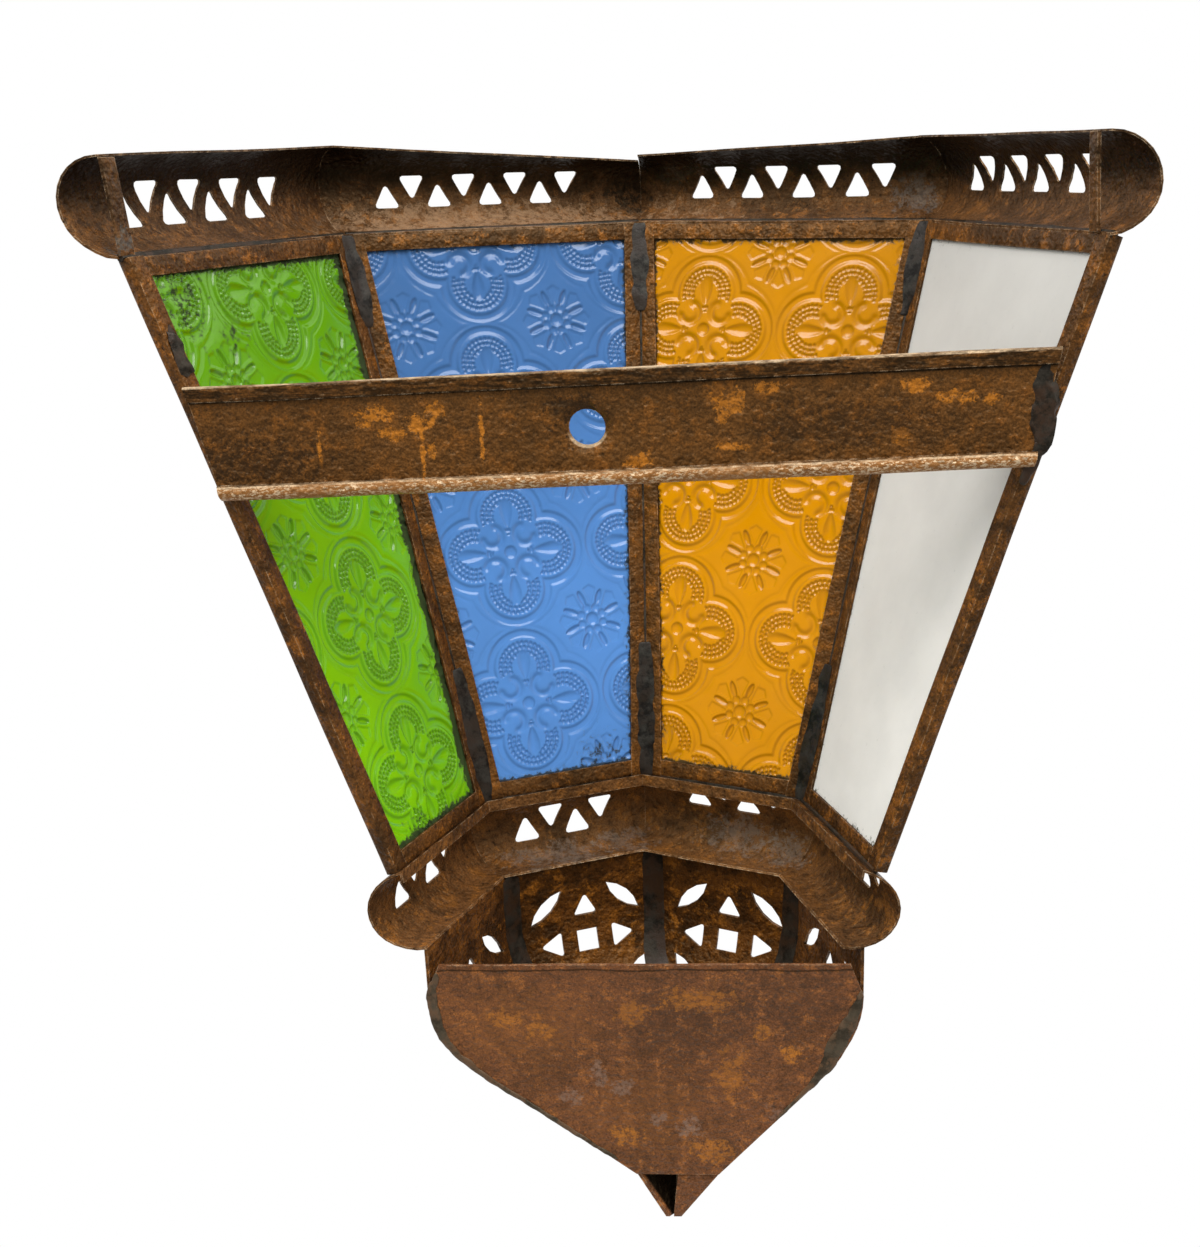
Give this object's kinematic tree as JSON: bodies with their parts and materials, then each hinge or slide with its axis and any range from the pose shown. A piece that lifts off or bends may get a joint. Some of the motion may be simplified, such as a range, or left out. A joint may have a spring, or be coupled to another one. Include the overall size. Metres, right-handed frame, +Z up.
{
  "type": "wall sconce",
  "caption": "Open-backed half-octagonal wall lantern of rusted sheet iron with pierced crown, ring and base round coloured glass panes, hung by a hole in its back strap.",
  "frame": {"origin": "at the centre of the hanging hole, on the back face of the strap", "axes": "+Z up, +Y into the wall, -Y out to the front edge, +X to the left of someone who looks at the open back"},
  "size_m": [0.3469, 0.1783, 0.4026],
  "materials": {
    "rusted_iron": "brown rusted sheet iron, worn bright on folds, stained with soot",
    "dark_iron": "dark rusted sheet iron",
    "solder": "dull grey soft solder with a smeared surface",
    "glass_green": "pressed green glass with raised medallions",
    "glass_blue": "pressed blue glass with raised medallions",
    "glass_amber": "pressed amber glass with raised medallions",
    "glass_white": "smooth frosted white glass"
  },
  "bodies": {
    "root": {"glass_green": "glass_green", "channel_green_left": "rusted_iron", "channel_green_right": "rusted_iron", "channel_green_top": "rusted_iron", "channel_green_bottom": "rusted_iron", "glass_blue": "glass_blue", "channel_blue_left": "rusted_iron", "channel_blue_right": "rusted_iron", "channel_blue_top": "rusted_iron", "channel_blue_bottom": "rusted_iron", "glass_amber": "glass_amber", "channel_amber_left": "rusted_iron", "channel_amber_right": "rusted_iron", "channel_amber_top": "rusted_iron", "channel_amber_bottom": "rusted_iron", "glass_white": "glass_white", "channel_white_left": "rusted_iron", "channel_white_right": "rusted_iron", "channel_white_top": "rusted_iron", "channel_white_bottom": "rusted_iron", "crown_segment_1": "rusted_iron", "crown_segment_2": "rusted_iron", "crown_segment_3": "rusted_iron", "crown_segment_4": "rusted_iron", "crown_tie_left": "rusted_iron", "crown_tie_right": "rusted_iron", "ring_segment_1": "rusted_iron", "ring_segment_2": "rusted_iron", "ring_segment_3": "rusted_iron", "ring_segment_4": "rusted_iron", "base_gore_1": "dark_iron", "base_gore_2": "dark_iron", "base_gore_3": "dark_iron", "base_gore_4": "dark_iron", "base_seam_1": "dark_iron", "base_seam_2": "dark_iron", "base_seam_3": "dark_iron", "back_plate": "rusted_iron", "finial": "rusted_iron", "back_strap": "rusted_iron", "seam_solder_top_1": "solder", "seam_solder_bottom_1": "solder", "seam_solder_top_2": "solder", "seam_solder_bottom_2": "solder", "seam_solder_top_3": "solder", "seam_solder_bottom_3": "solder", "strap_solder_left": "solder", "strap_solder_right": "solder"}
  },
  "joints": []
}
